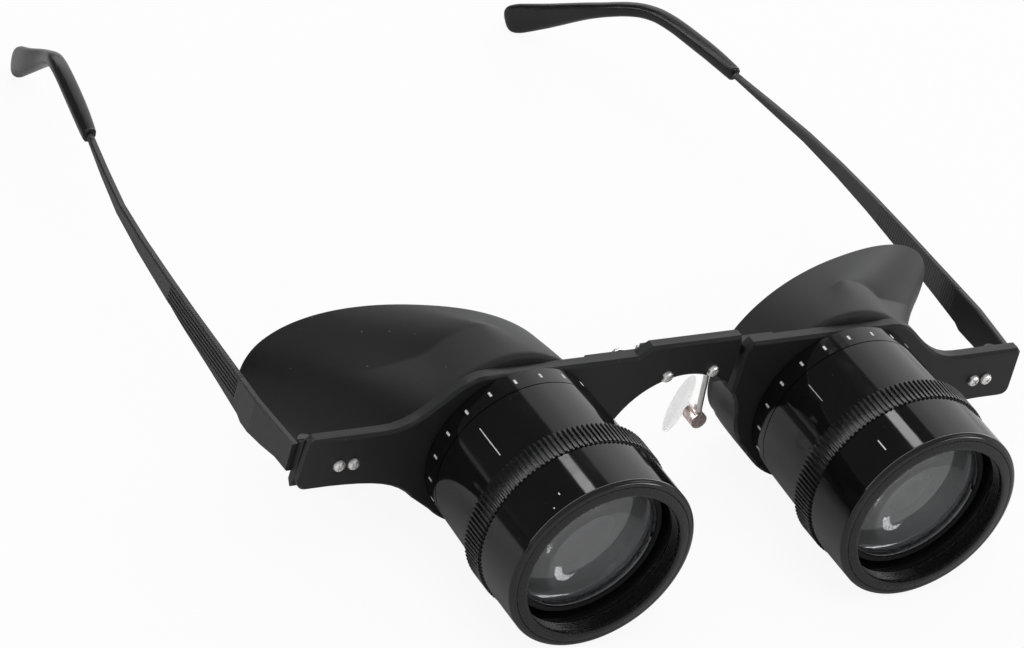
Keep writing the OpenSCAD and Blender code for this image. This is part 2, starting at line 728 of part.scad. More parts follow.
module hinge_screw(side) color(steel)
    on_side(side)
        on_hinge(side)
            difference() {
                union() {
                    translate([0, 0, 0.1 - knuckle_end])
                        cylinder(r = hinge_pin_r, h = 2 * knuckle_end, $fn = 32);
                    translate([0, 0, knuckle_end + 0.02])
                        cylinder(r = knuckle_r - 0.1, h = 0.4, $fn = 32);
                }
                translate([-2, -0.15, knuckle_end + 0.22])
                    cube([4, 0.3, 1]);
            }

module wing_screws(side) color(steel)
    on_side(side)
        for (x = wing_screws_x)
            translate([x, 0, wing_screw_z])
                small_screw(plate_t + 1.1);

// A temple's top and bottom edges and its outer face, along its length
temple_top = [[0, 3.1], [15, 3.2], [28, 3.1], [50, 3], [70, 2.7], [sock_start + 1, 2.5]];
temple_low = [[0, -2.5], [7, -2.3], [11, -3], [15, -3.4], [17.5, -3.4], [19, -2.8], [28, -2], [50, -0.4],
    [66, 0.4], [80, 1], [sock_start + 1, 1.6]];
temple_face = [[0, 0.6], [15, 1.8], [40, 1.5], [50, 1.2], [60, 0.7], [70, -0.2], [80, -2],
    [sock_start + 1, -4.2]];
temple_front = end_wall + 0.2;
function temple_ring(y) = let (x = wing_x + at(temple_face, y), t = temple_t,
    z1 = at(temple_top, y), z0 = at(temple_low, y), b = 0.25)
    [[x - t, y, z0 + b], [x - t + b, y, z0], [x - b, y, z0], [x, y, z0 + b],
    [x, y, z1 - b], [x - b, y, z1], [x - t + b, y, z1], [x - t, y, z1 - b]];

module temple(side) color(satin)
    on_side(side)
        difference() {
            union() {
                loft([for (y = [temple_front, 7, 11, 15, 17.5, 19, 24, 28, 34, 40, 45, 50, 55, 60, 65, 70, 75, 80, 86,
                    sock_start]) temple_ring(y)]);
                on_hinge(side)
                    union() {
                        translate([0, 0, 0.1 - knuckle_gap])
                            cylinder(r = knuckle_r, h = 2 * knuckle_gap - 0.2, $fn = 40);
                        translate([0, 0, 0.1 - knuckle_gap])
                            cube([hinge_inset + 0.3, knuckle_r, 2 * knuckle_gap - 0.2]);
                    }
                on_sock()
                    translate([0, 0, -0.9])
                        cylinder(r = 0.6, h = 8, $fn = 24);
            }
            on_hinge(side)
                translate([0, 0, -6])
                    cylinder(r = hinge_pin_r + run_gap, h = 12, $fn = 32);
            for (z = [-0.7:0.7:2.1])
                translate([wing_x + 1.4, 21, z])
                    rotate([0, 0, 0.7])
                        cube([1, 26, 0.3]);
        }

// Puts a piece on the front end of the ear sock's middle line, with its own Z running back
module on_sock() {
    d = unit(sock_path[1] - sock_path[0]);
    translate(sock_path[0])
        rotate([0, 0, atan2(-d[0], d[1])])
            rotate([-90, 0, 0])
                children();
}

// Middle line of the ear sock
sock_path = [[wing_x - 4.5, sock_start - 0.5, 2.05], [wing_x - 6.5, sock_start + 9.5, 2.25],
    [wing_x - 9.4, sock_start + 22.4, 1.2], [wing_x - 13.6, sock_start + 32.5, -4.7],
    [wing_x - 16.4, sock_start + 42.8, -12.7], [wing_x - 19.3, sock_start + 51.2, -19]];
function sock_point(t) = through(sock_path, t);
sock_w = [[0, 2.3], [0.5, 2.9], [1, 3.1], [5, 2.9]];
sock_h = [[0, 2.9], [1, 3], [2, 2.6], [3, 2.8], [4, 4.8], [4.7, sock_end_h], [5, sock_end_h]];
function sock_ring(t, k) = let (p = sock_point(t), d = unit(sock_point(min(t + 0.05, 5)) -
    sock_point(max(t - 0.05, 0))), s = unit(cross(d, [0, 0, 1])), u = cross(s, d),
    w = at(sock_w, t) / 2 * k, h = at(sock_h, t) / 2 * k)
    [for (i = [0:11]) let (a = i * 30, c = cos(a), q = sin(a))
        p + s * w * sign(c) * pow(abs(c), 0.75) + u * h * sign(q) * pow(abs(q), 0.75)];

module ear_sock(side) color(black)
    on_side(side)
        difference() {
            loft(concat([sock_ring(0, 0.85)], [for (t = [0.1:0.35:4.7]) sock_ring(t, 1)],
                [sock_ring(4.85, 0.95), sock_ring(4.95, 0.8), sock_ring(5, 0.5)]));
            on_sock()
                translate([0, 0, -2])
                    cylinder(r = 0.62, h = 9.2, $fn = 24);
            translate([wing_x - 8, sock_start - 3, -4])
                cube([8, 3.02, 10]);
        }

// Wire that carries a nose pad, screwed behind the bridge
arm_y = plate_t + channel_t + 0.8;
pad_at = [10.4, 6.3, -5.6];
arm_path = [[bridge_screw_x + 1, arm_y + 0.5, bridge_screw_z], [7.4, arm_y + 0.55, 8.2],
    [8.7, arm_y + 0.6, 4.6], [9.3, arm_y + 0.7, 0.2], [pad_at[0] - 0.1, pad_at[1] - 0.1, pad_at[2] + 1]];
function arm_ring(t) = let (p = through(arm_path, t), d = unit(through(arm_path, min(t + 0.1, 4)) -
    through(arm_path, max(t - 0.1, 0))), s = unit(cross(d, [0, 1, 0])), u = cross(s, d))
    [for (i = [0:7]) p + 0.5 * (s * cos(i * 45) + u * sin(i * 45))];

module pad_arm(side) color(steel)
    on_side(side)
        difference() {
            union() {
                hole_y(bridge_screw_x, bridge_screw_z, 1.35, arm_y + 0.02, arm_y + 1);
                loft([for (t = [0:0.4:4]) arm_ring(t)]);
            }
            hole_y(bridge_screw_x, bridge_screw_z, small_screw_r + 0.02, 0, 12);
        }

// Metal box at the end of the wire, slotted for the pad's lug, with its cross pin
pad_pin_y = 1.3;
pad_pin_r = 0.3;
lug_t = 0.8;
module pad_box(side) color(steel)
    on_side(side)
        translate(pad_at) {
            difference() {
                rotate([-90, 0, 0])
                    translate([0, 0, -0.8])
                        cylinder(r = 1.5, h = 3, $fn = 32);
                translate([-lug_t / 2 - 0.1, 0.1, -2])
                    cube([lug_t + 0.2, 4, 4]);
                translate([-0.1, -0.1, 0.9])
                    cylinder(r = 0.62, h = 1.1, $fn = 16);
            }
            translate([-1.3, pad_pin_y, 0])
                rotate([0, 90, 0])
                    cylinder(r = pad_pin_r, h = 2.6, $fn = 24);
        }

module nose_pad(side) color([0.85, 0.82, 0.8, 0.5])
    on_side(side)
        translate(pad_at)
            difference() {
                union() {
                    translate([-1, 4.3, 0])
                        rotate([6, 0, 32])
                            scale([pad_w / 2, pad_t / 2, pad_h / 2])
                                sphere(r = 1, $fn = 28);
                    translate([-lug_t / 2, pad_pin_y, 0])
                        rotate([0, 90, 0])
                            cylinder(r = 0.95, h = lug_t, $fn = 24);
                    translate([-lug_t / 2, pad_pin_y, -0.8])
                        cube([lug_t, 3, 1.6]);
                }
                translate([-3, pad_pin_y, 0])
                    rotate([0, 90, 0])
                        cylinder(r = pad_pin_r + 0.04, h = 6, $fn = 24);
            }

left_half_frame();
right_half_frame();
bridge_guide_plate();
bridge_screws();
lock_screw();
lock_insert();
inner_tube(-1);  // left_inner_tube
inner_tube(1);  // right_inner_tube
tube_nut(-1);  // left_tube_nut
tube_nut(1);  // right_tube_nut
focus_sleeve(-1);  // left_focus_sleeve
focus_sleeve(1);  // right_focus_sleeve
sleeve_retainer(-1);  // left_sleeve_retainer
sleeve_retainer(1);  // right_sleeve_retainer
front_housing(-1);  // left_front_housing
front_housing(1);  // right_front_housing
front_ring(-1);  // left_front_ring
front_ring(1);  // right_front_ring
objective_cell(-1);  // left_objective_cell
objective_cell(1);  // right_objective_cell
objective_lens(-1);  // left_objective_lens
objective_lens(1);  // right_objective_lens
lens_retainer(-1);  // left_lens_retainer
lens_retainer(1);  // right_lens_retainer
drive_pin(-1);  // left_drive_pin
drive_pin(1);  // right_drive_pin
eyepiece_cell(-1);  // left_eyepiece_cell
eyepiece_cell(1);  // right_eyepiece_cell
eye_lens(-1);  // left_eye_lens
eye_lens(1);  // right_eye_lens
eye_lens_ring(-1);  // left_eye_lens_ring
eye_lens_ring(1);  // right_eye_lens_ring
eye_shield(-1);  // left_eye_shield
eye_shield(1);  // right_eye_shield
hinge_block(-1);  // left_hinge_block
hinge_block(1);  // right_hinge_block
hinge_screw(-1);  // left_hinge_screw
hinge_screw(1);  // right_hinge_screw
wing_screws(-1);  // left_wing_screws
wing_screws(1);  // right_wing_screws
temple(-1);  // left_temple
temple(1);  // right_temple
ear_sock(-1);  // left_ear_sock
ear_sock(1);  // right_ear_sock
pad_arm(-1);  // left_pad_arm
pad_arm(1);  // right_pad_arm
pad_box(-1);  // left_pad_box
pad_box(1);  // right_pad_box
nose_pad(-1);  // left_nose_pad
nose_pad(1);  // right_nose_pad
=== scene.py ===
import json
import math

import bpy
from mathutils import Matrix, Vector

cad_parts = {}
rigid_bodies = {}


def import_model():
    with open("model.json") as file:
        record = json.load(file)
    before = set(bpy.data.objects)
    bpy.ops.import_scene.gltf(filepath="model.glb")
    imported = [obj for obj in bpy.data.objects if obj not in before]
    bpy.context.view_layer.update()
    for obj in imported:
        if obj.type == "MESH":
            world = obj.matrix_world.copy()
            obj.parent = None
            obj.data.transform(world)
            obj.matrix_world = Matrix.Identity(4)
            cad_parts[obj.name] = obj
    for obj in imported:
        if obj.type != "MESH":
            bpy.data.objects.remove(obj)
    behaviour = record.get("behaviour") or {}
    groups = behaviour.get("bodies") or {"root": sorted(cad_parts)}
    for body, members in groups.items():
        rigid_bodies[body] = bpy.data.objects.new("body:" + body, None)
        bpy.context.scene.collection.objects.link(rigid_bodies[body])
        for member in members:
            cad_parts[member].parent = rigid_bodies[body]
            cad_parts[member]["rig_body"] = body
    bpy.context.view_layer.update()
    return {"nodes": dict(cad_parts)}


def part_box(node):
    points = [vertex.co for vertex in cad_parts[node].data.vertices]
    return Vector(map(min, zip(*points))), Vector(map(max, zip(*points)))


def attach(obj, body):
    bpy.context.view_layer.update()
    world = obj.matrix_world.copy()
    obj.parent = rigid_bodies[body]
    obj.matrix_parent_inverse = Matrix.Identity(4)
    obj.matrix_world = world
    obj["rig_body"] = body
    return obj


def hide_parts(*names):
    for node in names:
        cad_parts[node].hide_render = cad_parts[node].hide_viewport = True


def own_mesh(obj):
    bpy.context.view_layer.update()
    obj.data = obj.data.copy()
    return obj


for extra in list(bpy.data.objects):
    bpy.data.objects.remove(extra)
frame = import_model()
for cad in frame["nodes"].values():
    cad.data.materials.clear()


# Camera
# The glasses are seen from their wearer's right, from above and in front, through a long lens
# from a little under a metre away, with the camera rolled so that they lie across the picture.
turn, rise, roll = (math.radians(a) for a in (-39.227, 33.411, 17.29))
back = Vector((math.sin(turn) * math.cos(rise), -math.cos(turn) * math.cos(rise), math.sin(rise)))
level = Vector((math.cos(turn), math.sin(turn), 0))
upright = back.cross(level)
bpy.ops.object.camera_add()
camera = bpy.context.object
camera.name = "photo_camera"
camera.data.sensor_width = 36
camera.data.lens = 195.32
camera.matrix_world = Matrix((level * math.cos(roll) + upright * math.sin(roll),
    upright * math.cos(roll) - level * math.sin(roll), back)).transposed().to_4x4()
camera.matrix_world.translation = (-0.510748, -0.577373, 0.517211)
bpy.context.scene.camera = camera
bpy.context.scene.view_settings.view_transform = "Standard"


# Floor, lamps and world
# A white table under a dark ceiling. The lamps and the window that the gloss mirrors are painted
# into the world, and lamps that it doesn't mirror light the glasses. The table leans, because
# the glasses rest on their toothed rings and ear socks.
class Link:
    """One socket of a node tree. Sums, differences and products of links add Math nodes."""

    def __init__(self, tree, socket=None):
        self.tree = tree
        self.socket = socket

    def node(self, kind, settings, sockets, out=0):
        made = self.tree.nodes.new(kind)
        for name, value in settings.items():
            if name == "stops":
                stops = made.color_ramp.elements
                for n, (place, shade) in enumerate(value):
                    stop = stops[n] if n < 2 else stops.new(place)
                    stop.position = place
                    stop.color = (shade, shade, shade, 1)
            else:
                setattr(made, name, value)
        for name, value in sockets.items():
            if isinstance(value, Link):
                self.tree.links.new(value.socket, made.inputs[name])
            else:
                made.inputs[name].default_value = value
        return Link(self.tree, made.outputs[out] if len(made.outputs) else None)

    def math(self, operation, *values):
        return self.node("ShaderNodeMath", {"operation": operation}, dict(enumerate(values)))

    def __add__(self, other):
        return self.math("ADD", self, other)

    def __sub__(self, other):
        return self.math("SUBTRACT", self, other)

    def __rsub__(self, other):
        return self.math("SUBTRACT", other, self)

    def __mul__(self, other):
        return self.math("MULTIPLY", self, other)

    __radd__, __rmul__ = __add__, __mul__

    def over(self, low, high):
        """How far the value has come from low to high, kept between 0 and 1."""
        return self.node("ShaderNodeMapRange", {"clamp": True}, {0: self, 1: low, 2: high, 3: 0.0, 4: 1.0})

    def mix(self, first, second):
        """From the first colour to the second as the value goes from 0 to 1."""
        return self.node("ShaderNodeMix", {"data_type": "RGBA"}, {0: self, 6: first, 7: second}, 2)


world = bpy.data.worlds.new("studio")
bpy.context.scene.world = world
world.use_nodes = True
world.node_tree.nodes.clear()
sky = Link(world.node_tree)
rays = world.node_tree.nodes.new("ShaderNodeLightPath").outputs
way = sky.node("ShaderNodeTexCoord", {}, {}, "Generated")
east, north, up = (sky.node("ShaderNodeSeparateXYZ", {}, {0: way}, n) for n in range(3))
# Half turns from the right over the top to the left
around = sky.math("ABSOLUTE", sky.math("ARCTAN2", up, east)) * (1 / math.pi)
# A tall soft lamp on the right, then the dark ceiling and left side
softbox = sky.node("ShaderNodeValToRGB", {"stops": [(0.0, 1.02), (1.0, 0.5), (0.27, 1.06), (0.36, 0.82),
    (0.445, 0.72), (0.463, 0.13), (0.6, 0.1), (0.975, 0.1), (0.99, 0.5)]}, {0: around})
# For the housings the ceiling starts sooner than for the tapered sleeves
corner = around.over(0.392, 0.402) * (1 - north.over(0.632, 0.645))
# A small square lamp, the bright bar on the housings
square = (around.over(0.486, 0.492) * (1 - around.over(0.548, 0.556)) * north.over(0.575, 0.585)
    * (1 - north.over(0.630, 0.634)))
# The room in front, darker higher up, and past the middle a band of light for the rims' edges
front = up.over(-0.1, 0.5).mix((0.8, 0.8, 0.8, 1), (0.4, 0.4, 0.4, 1))
crown = north.over(0.30, 0.33) * (1 - north.over(0.44, 0.47)) * up.over(0.02, 0.1)
# A low window in front with one side covered, the crescent in the lenses
glint, shade = (sky.node("ShaderNodeVectorMath", {"operation": "DOT_PRODUCT"}, {0: way, 1: middle}, 1)
    for middle in ((0.62, -0.78, 0.08), (0.53, -0.845, 0.03)))
window = glint.over(0.962, 0.970) * (1 - shade.over(0.974, 0.982))
behind = corner.mix(softbox, (0.1, 0.1, 0.1, 1))
plain = square.mix(north.over(0.1, 0.35).mix(front, behind), (6.2, 6.2, 6.2, 1))
dome = window.mix(crown.mix(plain, (6.0, 6.0, 6.0, 1)), (8.0, 8.0, 8.0, 1))
mirrored = sky.math("MAXIMUM", Link(world.node_tree, rays["Is Glossy Ray"]),
    Link(world.node_tree, rays["Is Transmission Ray"]))
seen = Link(world.node_tree, rays["Is Camera Ray"])
glow = seen.mix(mirrored.mix((0.5, 0.5, 0.5, 1), dome), (1, 1, 1, 1))
sky.node("ShaderNodeOutputWorld", {}, {"Surface": sky.node("ShaderNodeBackground", {}, {"Color": glow})})

# Where the toothed rings and the ear socks touch the table
rest_front = Vector((0, -0.0194, -0.01745))
rest_back = Vector((0, 0.140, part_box("left_ear_sock")[0].z))
lean = math.atan2(rest_back.z - rest_front.z, rest_back.y - rest_front.y)
table_size = 8
bpy.ops.mesh.primitive_plane_add(size=table_size, location=rest_front, rotation=(lean, 0, 0))
table = bpy.context.object
table.name = "table_top"
white = bpy.data.materials.new("table_white")
white.use_nodes = True
white.node_tree.nodes.clear()
top = Link(white.node_tree)
spot = top.node("ShaderNodeTexCoord", {}, {}, "Object")
across, deep = (top.node("ShaderNodeSeparateXYZ", {}, {0: spot}, n) for n in range(2))
# Painted shade: as the gloss mirrors it, the table beyond a line on its far left is dark grey instead of
# white
far_left_painted_shade = (deep * 0.62 - across * 0.78).over(0.14, 0.17)
paths = white.node_tree.nodes.new("ShaderNodeLightPath").outputs
mirror_ray = Link(white.node_tree, paths["Is Glossy Ray"])
looked_at = Link(white.node_tree, paths["Is Camera Ray"])
lit = top.node("ShaderNodeBsdfDiffuse", {}, {"Color": (far_left_painted_shade * mirror_ray).mix((0.8, 0.8, 0.8, 1),
    (0.12, 0.12, 0.12, 1))})
pure = top.node("ShaderNodeEmission", {}, {"Color": (1, 1, 1, 1), "Strength": 1.02})
paper = top.node("ShaderNodeMixShader", {}, {0: looked_at * 0.9, 1: lit, 2: pure})
top.node("ShaderNodeOutputMaterial", {}, {"Surface": paper})
table.data.materials.append(white)


def lamp(name, direction, distance, width, height, radiance):
    """A flat soft lamp that faces the glasses and isn't mirrored in them."""
    place = Vector(direction).normalized() * distance
    bpy.ops.object.light_add(type="AREA", location=place)
    made = bpy.context.object
    made.name = name
    made.rotation_euler = place.to_track_quat("Z", "Y").to_euler()
    made.data.shape = "RECTANGLE"
    made.data.size = width
    made.data.size_y = height
    made.data.energy = radiance * math.pi * width * height
    made.visible_glossy = False


lamp("side_softbox", (0.70, 0.62, 0.36), 1.3, 0.9, 1.0, 1.5)
lamp("ceiling_fill", (-0.15, -0.1, 1.0), 1.2, 1.0, 1.0, 1.3)
lamp("front_fill", (-0.6, -0.9, 0.5), 1.3, 0.8, 0.8, 0.7)


# Half frames
# Two moulded half frames of satin black plastic, bevelled round their front edges. The left
# one carries the bridge sleeve, and the tongue of the right one slides in a channel behind it.
def finish(name, **constants):
    """A new material with one shader, the start of its links, the place on the object, and a
    function that feeds links to the shader."""
    made = bpy.data.materials.new(name)
    made.use_nodes = True
    made.node_tree.nodes.clear()
    start = Link(made.node_tree)
    shader = made.node_tree.nodes.new("ShaderNodeBsdfPrincipled")
    start.node("ShaderNodeOutputMaterial", {}, {"Surface": Link(made.node_tree, shader.outputs[0])})
    for socket, value in constants.items():
        shader.inputs[socket.replace("_", " ")].default_value = value
    place = start.node("ShaderNodeTexCoord", {}, {}, "Object")

    def feed(**links):
        for socket, link in links.items():
            made.node_tree.links.new(link.socket, shader.inputs[socket.replace("_", " ")])

    return made, start, place, feed


def noise(start, place, scale, detail=3.0, rough=0.5):
    return start.node("ShaderNodeTexNoise", {}, {"Vector": place, "Scale": scale, "Detail": detail,
        "Roughness": rough})


def relief(start, height, depth, strength):
    """A bump whose full height is a depth in metres."""
    return start.node("ShaderNodeBump", {}, {"Height": height, "Distance": depth, "Strength": strength})


frame_plastic, start, place, feed = finish("moulded_black", IOR=1.48, Specular_IOR_Level=0.32)
grain = noise(start, place, 5200, 2)
clouds = noise(start, place, 70, 4)
lint = noise(start, place, 2100, 1).over(0.79, 0.82)
clouded = clouds.mix((0.011, 0.011, 0.012, 1), (0.019, 0.019, 0.020, 1))
feed(Base_Color=lint.mix(clouded, (0.08, 0.08, 0.08, 1)),
    Roughness=0.34 + 0.12 * clouds + 0.06 * grain, Normal=relief(start, grain, 0.00002, 0.6))


def alone(piece):
    """Selects one object and nothing else."""
    bpy.ops.object.select_all(action="DESELECT")
    piece.select_set(True)
    bpy.context.view_layer.objects.active = piece
    return piece


def joined(piece):
    """Merges corners less than a thousandth of a millimetre apart, which a rounding can leave."""
    alone(piece)
    bpy.ops.object.mode_set(mode="EDIT")
    bpy.ops.mesh.select_all(action="SELECT")
    bpy.ops.mesh.remove_doubles(threshold=0.000001)
    bpy.ops.mesh.normals_make_consistent(inside=False)
    bpy.ops.object.mode_set(mode="OBJECT")


def smoothed(node, material, edge=0.0, sharp=32):
    """A copy of a CAD piece with its triangles joined, its curved faces smooth and its edges
    rounded by that many millimetres."""
    source = frame["nodes"][node]
    piece = bpy.data.objects.new(node + "_finished", source.data.copy())
    bpy.context.collection.objects.link(piece)
    alone(piece)
    bpy.ops.object.mode_set(mode="EDIT")
    bpy.ops.mesh.select_all(action="SELECT")
    bpy.ops.mesh.remove_doubles(threshold=0.000002)
    bpy.ops.mesh.dissolve_limited(angle_limit=math.radians(0.2))
    bpy.ops.object.mode_set(mode="OBJECT")
    if edge:
        rounding = piece.modifiers.new("rounding", "BEVEL")
        rounding.width = edge / 1000
        rounding.segments = 2
        rounding.limit_method = "ANGLE"
        rounding.angle_limit = math.radians(sharp)
        bpy.ops.object.modifier_apply(modifier=rounding.name)
        joined(piece)
    bpy.ops.object.shade_smooth_by_angle(angle=math.radians(sharp))
    if edge:
        even = piece.modifiers.new("even", "WEIGHTED_NORMAL")
        even.keep_sharp = True
        bpy.ops.object.modifier_apply(modifier=even.name)
    piece.data.materials.append(material)
    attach(piece, source["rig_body"])
    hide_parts(node)
    return piece


for node in ("left_half_frame", "right_half_frame"):
    smoothed(node, frame_plastic, edge=0.09)
for node in ("left_hinge_block", "right_hinge_block"):
    smoothed(node, frame_plastic, edge=0.06)


# Screws
# Small nickel-plated screws with domed heads and a cross recess: two through the bridge and two
# through each wing. The clamp screw behind the bridge is plated too, and the one up each hinge
# is blackened.
nickel, start, place, feed = finish("nickel_plate", Metallic=1.0, Anisotropic=0.2)
rubbed = noise(start, place, 2600, 3)
dirt = noise(start, place, 420, 4).over(0.52, 0.75)
feed(Base_Color=dirt.mix((0.96, 0.95, 0.94, 1), (0.5, 0.48, 0.47, 1)),
    Roughness=0.3 + 0.14 * rubbed + 0.15 * dirt, Normal=relief(start, rubbed, 0.00001, 0.5))
blackened, start, place, feed = finish("blackened_screw", IOR=1.5)
oiled = noise(start, place, 900, 3)
feed(Base_Color=oiled.mix((0.010, 0.010, 0.011, 1), (0.022, 0.022, 0.023, 1)), Roughness=0.34 + 0.12 * oiled)
for node in ("bridge_screws", "lock_screw", "left_wing_screws", "right_wing_screws"):
    smoothed(node, nickel, edge=0.04)
for node in ("left_hinge_screw", "right_hinge_screw"):
    smoothed(node, blackened, edge=0.04)


# Inside the bridge and the barrels
# A steel keeper plate behind the sliding tongue, a brass insert for the clamp screw, steel
# rings and pins in the barrels. Their bare metal shows only from behind or not at all.
bare_steel, start, place, feed = finish("bare_steel", Metallic=1.0)
drawn = noise(start, start.node("ShaderNodeMapping", {}, {"Vector": place, "Scale": (60, 900, 900)}), 3, 4)
feed(Base_Color=drawn.mix((0.30, 0.30, 0.31, 1), (0.52, 0.52, 0.53, 1)), Roughness=0.26 + 0.2 * drawn)
bare_brass, start, place, feed = finish("bare_brass", Metallic=1.0)
cut = noise(start, place, 3000, 2)
feed(Base_Color=cut.mix((0.42, 0.30, 0.13, 1), (0.66, 0.50, 0.25, 1)), Roughness=0.3 + 0.1 * cut)
smoothed("bridge_guide_plate", bare_steel, edge=0.06)
frame["nodes"]["lock_insert"].data.materials.append(bare_brass)
for node in ("left_drive_pin", "right_drive_pin", "left_sleeve_retainer", "right_sleeve_retainer"):
    frame["nodes"][node].data.materials.append(bare_steel)


# Fixed tubes and their scales
# Each barrel starts with a fixed tube on the frame. A glossy band is pressed over its base and
# widens a little towards the sleeve. Ten short marks of white paint stand on the band.
gloss, start, place, feed = finish("polished_black", IOR=1.5, Specular_IOR_Level=0.5)
haze = noise(start, place, 90, 5, 0.6)
ripple = noise(start, place, 240, 2)
specks = noise(start, place, 3600, 1).over(0.81, 0.83)
hazy = haze.mix((0.0035, 0.0035, 0.004, 1), (0.007, 0.007, 0.0075, 1))
feed(Base_Color=specks.mix(hazy, (0.12, 0.12, 0.12, 1)),
    Roughness=0.045 + 0.07 * haze.over(0.35, 0.7) + 0.3 * specks, Normal=relief(start, ripple, 0.00002, 0.5))
mark_paint, start, place, feed = finish("mark_paint", IOR=1.45)
worn = noise(start, place, 3800, 3).over(0.38, 0.72)
feed(Base_Color=worn.mix((0.88, 0.88, 0.86, 1), (0.45, 0.45, 0.44, 1)), Roughness=0.5 + 0.2 * worn)


# In metres: how far a sight axis is from the middle, and the depth and rounding of the paint
sight_x, paint_depth, paint_edge = 0.0325, 0.00006, 0.00002


def mark(side, angle, radius, from_h, to_h, width, tilt=0.0):
    """A bar of paint along a barrel, at a turn in degrees from the +X side, its ends given in
    millimetres in front of the frame."""
    bpy.ops.mesh.primitive_cube_add(size=1)
    bar = bpy.context.object
    turn = Matrix.Rotation(-math.radians(angle), 4, "Y")
    middle = Matrix.Translation((radius / 1000, -(from_h + to_h) / 2000, 0))
    leaning = Matrix.Rotation(math.radians(tilt), 4, "Z")
    bar.matrix_world = (Matrix.Translation((side * sight_x, 0, 0)) @ turn @ middle @ leaning
        @ Matrix.Diagonal((paint_depth, (to_h - from_h) / 1000, width / 1000, 1)))
    bpy.ops.object.transform_apply(location=True, rotation=True, scale=True)
    edges = bar.modifiers.new("soft_ends", "BEVEL")
    edges.width = paint_edge
    bpy.ops.object.modifier_apply(modifier=edges.name)
    return bar


def one_piece(parts, name):
    """Joins parts into one named object."""
    bpy.ops.object.select_all(action="DESELECT")
    for part in parts:
        part.select_set(True)
    bpy.context.view_layer.objects.active = parts[0]
    if len(parts) > 1:
        bpy.ops.object.join()
    parts[0].name = name
    return parts[0]


def turned(name, side, rings, corners=160):
    """A piece turned about a sight axis: a circle, then each next ring pulled out of the last.
    Rings are (radius, distance in front of the frame), in millimetres."""
    first_radius, h = rings[0]
    bpy.ops.object.select_all(action="DESELECT")
    bpy.ops.mesh.primitive_circle_add(vertices=corners, radius=first_radius / 1000,
        location=(side * sight_x, -h / 1000, 0), rotation=(math.pi / 2, 0, 0))
    piece = bpy.context.object
    piece.name = name
    bpy.ops.object.transform_apply(location=True, rotation=True, scale=True)
    bpy.ops.object.mode_set(mode="EDIT")
    bpy.ops.mesh.select_all(action="SELECT")
    for (r0, h0), (r1, h1) in zip(rings, rings[1:]):
        bpy.ops.mesh.extrude_region_move(TRANSFORM_OT_translate={"value": (0, (h0 - h1) / 1000, 0)})
        bpy.ops.transform.resize(value=(r1 / r0, 1, r1 / r0), center_override=(side * sight_x, -h1 / 1000, 0))
    bpy.ops.mesh.select_all(action="SELECT")
    bpy.ops.mesh.remove_doubles(threshold=0.000004)
    bpy.ops.mesh.normals_make_consistent(inside=False)
    bpy.ops.object.mode_set(mode="OBJECT")
    bpy.ops.object.shade_smooth_by_angle(angle=math.radians(32))
    return piece


def handed(piece, material, body):
    """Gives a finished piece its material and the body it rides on."""
    piece.data.materials.append(material)
    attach(piece, body)


tick_count, tick_step = 10, 17.2
for side, name, scale_middle in ((-1, "left", 132.2), (1, "right", 127.0)):
    smoothed(name + "_inner_tube", gloss, edge=0.05)
    turns = [scale_middle + (n - (tick_count - 1) / 2) * tick_step for n in range(tick_count)]
    ticks = [mark(side, turn, 15.775, 1.7, 2.7, 0.42, 1.1) for turn in turns]
    handed(one_piece(ticks, name + "_scale_marks"), mark_paint, name + "_half")
    band = turned(name + "_scale_band", side, [(15.5, 0.22), (15.73, 0.22), (15.8, 4.05), (15.5, 4.05),
        (15.5, 0.22)], 192)
    handed(band, gloss, name + "_half")


# Focusing sleeves and toothed rings
# A slightly tapered glossy sleeve turns on each tube. It ends in a ring of fine teeth for the
# fingers and carries a white index line.
def toothed_ring(name, side):
    """The ring of teeth: every second face of a short tube pulled out, its edges rounded."""
    teeth, root_r, tooth_rise, width, bore_share = 118, 0.0170, 0.00038, 0.0047, 0.945
    middle = (side * sight_x, -0.0193, 0)
    bpy.ops.object.select_all(action="DESELECT")
    bpy.ops.mesh.primitive_cylinder_add(vertices=2 * teeth, radius=root_r, depth=width,
        end_fill_type="NOTHING", location=middle, rotation=(math.pi / 2, 0, 0))
    ring = bpy.context.object
    ring.name = name
    bpy.ops.object.transform_apply(location=True, rotation=True, scale=True)
    bpy.ops.object.mode_set(mode="EDIT")
    bpy.ops.mesh.select_mode(type="FACE")
    bpy.ops.mesh.select_all(action="DESELECT")
    bpy.ops.object.mode_set(mode="OBJECT")
    ordered = sorted(ring.data.polygons, key=lambda f: math.atan2(f.center.z, f.center.x - middle[0]))
    for n, face in enumerate(ordered):
        face.select = n % 2 == 0
    bpy.ops.object.mode_set(mode="EDIT")
    bpy.ops.mesh.extrude_faces_move(TRANSFORM_OT_shrink_fatten={"value": tooth_rise})
    bpy.ops.mesh.select_mode(type="EDGE")
    bpy.ops.mesh.select_all(action="DESELECT")
    bpy.ops.mesh.select_non_manifold()
    bpy.ops.mesh.extrude_region_move()
    bpy.ops.transform.resize(value=(bore_share, 1, bore_share), center_override=middle)
    bpy.ops.mesh.bridge_edge_loops()
    bpy.ops.mesh.select_all(action="SELECT")
    bpy.ops.mesh.normals_make_consistent(inside=False)
    bpy.ops.object.mode_set(mode="OBJECT")
    rounding = ring.modifiers.new("rounding", "BEVEL")
    rounding.width = 0.00009
    rounding.segments = 2
    rounding.limit_method = "ANGLE"
    rounding.angle_limit = math.radians(50)
    alone(ring)
    bpy.ops.object.modifier_apply(modifier=rounding.name)
    bpy.ops.object.shade_smooth_by_angle(angle=math.radians(32))
    return ring


